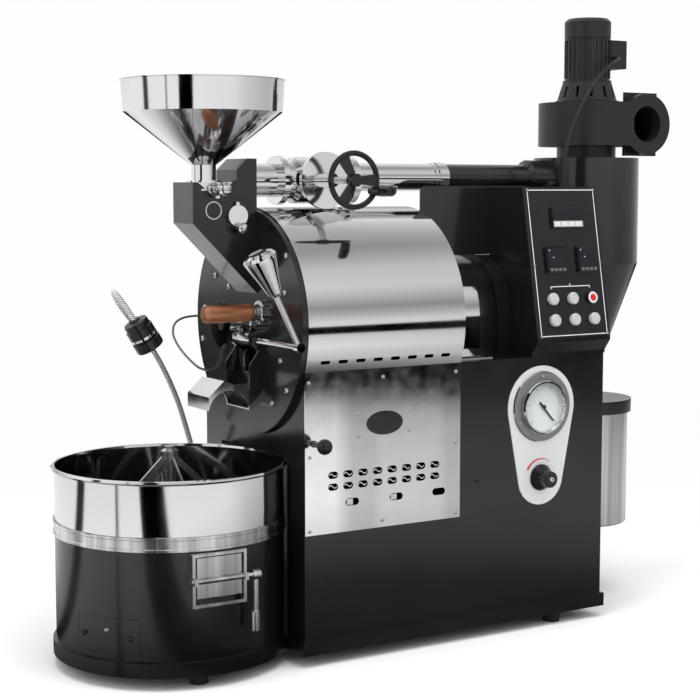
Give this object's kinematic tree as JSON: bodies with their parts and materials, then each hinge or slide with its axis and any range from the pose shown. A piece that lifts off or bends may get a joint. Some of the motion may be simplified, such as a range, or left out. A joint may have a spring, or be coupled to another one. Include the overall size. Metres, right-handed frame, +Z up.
{
  "type": "home coffee bean roaster",
  "caption": "Drum coffee bean roaster with funnel hopper, round cooling tray with stirring rake, leaning control console, cyclone and exhaust fan.",
  "frame": {"origin": "on the floor under the middle of the machine's bounding box", "axes": "+X along the drum from the discharge end to the cyclone, +Z up, controls and gauge face -Y"},
  "size_m": [1.2292, 0.4369, 1.124],
  "materials": {
    "black": "satin black powder coat",
    "chrome": "polished",
    "cord": "matt sleeve",
    "glass": "clear",
    "iron": "dark drum steel",
    "lead": "braided sleeve",
    "matte": "matt black",
    "plastic": "gloss black",
    "plate": "pale grey",
    "rubber": "matt",
    "silver": "silver grey",
    "steel": "brushed stainless",
    "wood": "oiled hardwood"
  },
  "bodies": {
    "frame": {"base_plinth": "black", "base_feet": "rubber", "cabinet_shell": "black", "burner_panel": "chrome", "gas_burner": "iron", "drum_cover": "chrome", "front_plate": "black", "front_bearing": "chrome", "rear_housing": "black", "rear_guard": "chrome", "trier_port": "chrome", "discharge_trough": "chrome", "charge_chute": "black", "hopper": "chrome", "damper_body": "chrome", "air_pipe_rear": "chrome", "rear_duct": "black", "cyclone": "black", "canister_lid": "black", "fan_volute": "black", "fan_motor": "black", "control_console": "black", "panel_instruments": "matte", "screen_plate": "black", "gauge_plate": "plate", "pressure_gauge": "chrome", "gauge_glass": "glass", "cooling_tray": "chrome", "tray_floor": "steel", "clamp_band": "chrome", "tray_bin": "black", "outlet_frame": "steel", "lamp_head": "plastic", "lamp_neck": "steel", "probe_cable": "lead", "motor_cable": "cord"},
    "drum": {"drum": "iron"},
    "rake": {"cooling_rake": "steel"},
    "fan": {"fan_impeller": "steel"},
    "damper": {"damper_spindle": "steel", "damper_handwheel": "plastic"},
    "crank": {"crank_grip": "plastic"},
    "discharge": {"discharge_lever": "chrome", "discharge_door": "chrome", "door_window": "glass"},
    "trier": {"trier_spoon": "steel", "trier_handle": "wood"},
    "hopper_gate": {"hopper_gate": "chrome"},
    "charge": {"charge_lever": "chrome"},
    "flap": {"outlet_flap": "steel"},
    "gas_knob": {"gas_knob": "plastic"},
    "pointer": {"gauge_pointer": "matte"},
    "shutter": {"shutter_knob": "plastic"},
    "chaff_can": {"chaff_can": "steel"},
    "chaff_drawer": {"chaff_drawer": "black"},
    "push_button_1": {"push_button_1": "silver"},
    "push_button_2": {"push_button_2": "silver"},
    "push_button_3": {"push_button_3": "silver"},
    "push_button_4": {"push_button_4": "silver"},
    "push_button_5": {"push_button_5": "silver"}
  },
  "joints": [
    {"name": "drum_spin", "type": "hinge", "parent": "frame", "child": "drum", "pos_m": [-0.2551, 0.0158, 0.5694], "axis": [1, 0, 0], "continuous": true},
    {"name": "rake_spin", "type": "hinge", "parent": "frame", "child": "rake", "pos_m": [-0.4153, 0.0158, 0.2], "axis": [0, 0, 1], "continuous": true},
    {"name": "fan_spin", "type": "hinge", "parent": "frame", "child": "fan", "pos_m": [0.4829, 0.0158, 0.9], "axis": [0, 0, 1], "continuous": true},
    {"name": "damper_turn", "type": "hinge", "parent": "frame", "child": "damper", "pos_m": [-0.1341, 0.0158, 0.8125], "axis": [0, -1, 0], "range_deg": [0, 90]},
    {"name": "crank_roll", "type": "hinge", "parent": "damper", "child": "crank", "pos_m": [-0.09846, -0.1542, 0.79434], "axis": [0, -1, 0], "continuous": true},
    {"name": "discharge_swing", "type": "hinge", "parent": "frame", "child": "discharge", "pos_m": [-0.2771, 0.0158, 0.542], "axis": [0, 1, 0], "range_deg": [0, 55]},
    {"name": "trier_pull", "type": "slide", "parent": "frame", "child": "trier", "axis": [-1, 0, 0], "range_m": [0, 0.085]},
    {"name": "hopper_gate_pull", "type": "slide", "parent": "frame", "child": "hopper_gate", "axis": [0, -1, 0], "range_m": [0, 0.045]},
    {"name": "charge_turn", "type": "hinge", "parent": "frame", "child": "charge", "pos_m": [-0.3051, 0.0158, 0.753], "axis": [0, 1, 0], "range_deg": [0, 45]},
    {"name": "flap_swing", "type": "hinge", "parent": "frame", "child": "flap", "pos_m": [-0.4241, -0.1907, 0.1795], "axis": [-1, 0, 0], "range_deg": [0, 50]},
    {"name": "gas_turn", "type": "hinge", "parent": "frame", "child": "gas_knob", "pos_m": [0.2362, -0.1742, 0.2777], "axis": [0, 1, 0], "range_deg": [0, 270]},
    {"name": "pointer_swing", "type": "hinge", "parent": "frame", "child": "pointer", "pos_m": [0.2362, -0.1742, 0.407], "axis": [0, 1, 0], "range_deg": [-20, 200], "stiffness_Nm_per_rad": 0.0005},
    {"name": "shutter_pull", "type": "slide", "parent": "frame", "child": "shutter", "axis": [0, -1, 0], "range_m": [0, 0.025]},
    {"name": "can_lower", "type": "slide", "parent": "frame", "child": "chaff_can", "axis": [0, 0, -1], "range_m": [0, 0.1]},
    {"name": "drawer_pull", "type": "slide", "parent": "frame", "child": "chaff_drawer", "axis": [-0.8434, -0.5373, 0], "range_m": [0, 0.05]},
    {"name": "push_button_1_press", "type": "slide", "parent": "frame", "child": "push_button_1", "axis": [0, 0.9833, -0.1821], "range_m": [0, 0.003], "stiffness_N_per_m": 300, "springref_m": -0.002},
    {"name": "push_button_2_press", "type": "slide", "parent": "frame", "child": "push_button_2", "axis": [0, 0.9833, -0.1821], "range_m": [0, 0.003], "stiffness_N_per_m": 300, "springref_m": -0.002},
    {"name": "push_button_3_press", "type": "slide", "parent": "frame", "child": "push_button_3", "axis": [0, 0.9833, -0.1821], "range_m": [0, 0.003], "stiffness_N_per_m": 300, "springref_m": -0.002},
    {"name": "push_button_4_press", "type": "slide", "parent": "frame", "child": "push_button_4", "axis": [0, 0.9833, -0.1821], "range_m": [0, 0.003], "stiffness_N_per_m": 300, "springref_m": -0.002},
    {"name": "push_button_5_press", "type": "slide", "parent": "frame", "child": "push_button_5", "axis": [0, 0.9833, -0.1821], "range_m": [0, 0.003], "stiffness_N_per_m": 300, "springref_m": -0.002}
  ]
}
